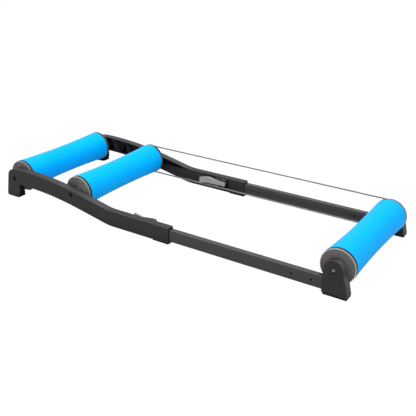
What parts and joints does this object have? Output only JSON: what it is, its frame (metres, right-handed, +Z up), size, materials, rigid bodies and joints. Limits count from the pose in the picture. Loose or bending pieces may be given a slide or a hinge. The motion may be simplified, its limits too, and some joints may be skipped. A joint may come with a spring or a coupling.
{
  "type": "bike rollers",
  "caption": "Bicycle training rollers: waisted drums turn on axles in a low telescoping frame of curved rails and straight tubes, with a round drive belt along one side.",
  "frame": {"origin": "centre of the bounding box's base, on the floor under the middle of the rollers", "axes": "+X towards the front drum, +Y to the rider's left (the belt's side), +Z up"},
  "size_m": [1.3516, 0.499, 0.129],
  "materials": {
    "drum_blue": "satin cyan blue, moulded",
    "cap_grey": "satin dark grey moulding with turned rings",
    "frame_black": "fine-grained matt black moulding",
    "tube_paint": "satin black powder coat on steel tube",
    "lever_grey": "matt mid grey moulding",
    "belt_grey": "smooth glossy round polyurethane cord",
    "rubber_black": "matt rubber",
    "steel": "zinc plated steel"
  },
  "bodies": {
    "rear_frame": {"outer_rail_left": "frame_black", "outer_rail_right": "frame_black", "rear_foot_left": "rubber_black", "rear_foot_right": "rubber_black", "middle_pad_left": "rubber_black", "middle_pad_right": "rubber_black", "mouth_guide_left": "rubber_black", "mouth_guide_right": "rubber_black", "latch_housing_left": "frame_black", "latch_housing_right": "frame_black", "latch_screw_lower_left": "steel", "latch_screw_lower_right": "steel", "latch_screw_upper_left": "steel", "latch_screw_upper_right": "steel", "latch_pin_left": "steel", "latch_pin_right": "steel", "rear_axle": "steel", "middle_axle": "steel", "rear_axle_bolt_left": "steel", "rear_axle_bolt_right": "steel", "middle_axle_bolt_left": "steel", "middle_axle_bolt_right": "steel", "drive_belt": "belt_grey"},
    "rear_roller": {"rear_drum": "drum_blue", "rear_end_cap_left": "cap_grey", "rear_end_cap_right": "cap_grey", "rear_bearing_left": "steel", "rear_bearing_right": "steel"},
    "middle_roller": {"middle_drum": "drum_blue", "middle_end_cap_left": "cap_grey", "middle_end_cap_right": "cap_grey", "middle_bearing_left": "steel", "middle_bearing_right": "steel"},
    "front_frame": {"inner_tube_left": "tube_paint", "inner_tube_right": "tube_paint", "tube_glide_left": "frame_black", "tube_glide_right": "frame_black", "front_foot_left": "frame_black", "front_foot_right": "frame_black", "front_foot_bolt_left": "steel", "front_foot_bolt_right": "steel", "front_foot_sole_left": "rubber_black", "front_foot_sole_right": "rubber_black", "front_axle": "steel", "front_axle_bolt_left": "steel", "front_axle_bolt_right": "steel"},
    "front_roller": {"front_drum": "drum_blue", "front_end_cap_left": "cap_grey", "front_end_cap_right": "cap_grey", "front_bearing_left": "steel", "front_bearing_right": "steel"},
    "lever_left": {"latch_lever_left": "lever_grey"},
    "lever_right": {"latch_lever_right": "lever_grey"},
    "shoe_left": {"latch_shoe_left": "rubber_black"},
    "shoe_right": {"latch_shoe_right": "rubber_black"}
  },
  "joints": [
    {"name": "rear_roller_spin", "type": "hinge", "parent": "rear_frame", "child": "rear_roller", "pos_m": [-0.62075, 0, 0.074], "axis": [0, 1, 0], "continuous": true},
    {"name": "middle_roller_spin", "type": "hinge", "parent": "rear_frame", "child": "middle_roller", "pos_m": [-0.34475, 0, 0.074], "axis": [0, 1, 0], "continuous": true},
    {"name": "frame_slide", "type": "slide", "parent": "rear_frame", "child": "front_frame", "axis": [1, 0, 0], "range_m": [-0.52, 0], "deforming": ["drive_belt"]},
    {"name": "front_roller_spin", "type": "hinge", "parent": "front_frame", "child": "front_roller", "pos_m": [0.62075, 0, 0.074], "axis": [0, 1, 0], "continuous": true},
    {"name": "left_lever_hinge", "type": "hinge", "parent": "rear_frame", "child": "lever_left", "pos_m": [-0.01175, 0.209, 0.036], "axis": [0, 0, 1], "range_deg": [0, 70]},
    {"name": "left_shoe_slide", "type": "slide", "parent": "rear_frame", "child": "shoe_left", "axis": [0, -1, 0], "range_m": [0, 0.00105]},
    {"name": "right_lever_hinge", "type": "hinge", "parent": "rear_frame", "child": "lever_right", "pos_m": [-0.01175, -0.209, 0.036], "axis": [0, 0, -1], "range_deg": [0, 70]},
    {"name": "right_shoe_slide", "type": "slide", "parent": "rear_frame", "child": "shoe_right", "axis": [0, 1, 0], "range_m": [0, 0.00105]}
  ],
  "couplings": [
    {"joint": "front_roller_spin", "follows": "middle_roller_spin", "ratio": 1},
    {"joint": "left_shoe_slide", "follows": "left_lever_hinge", "m_per_rad": 0.00085772},
    {"joint": "right_shoe_slide", "follows": "right_lever_hinge", "m_per_rad": 0.00085772}
  ]
}
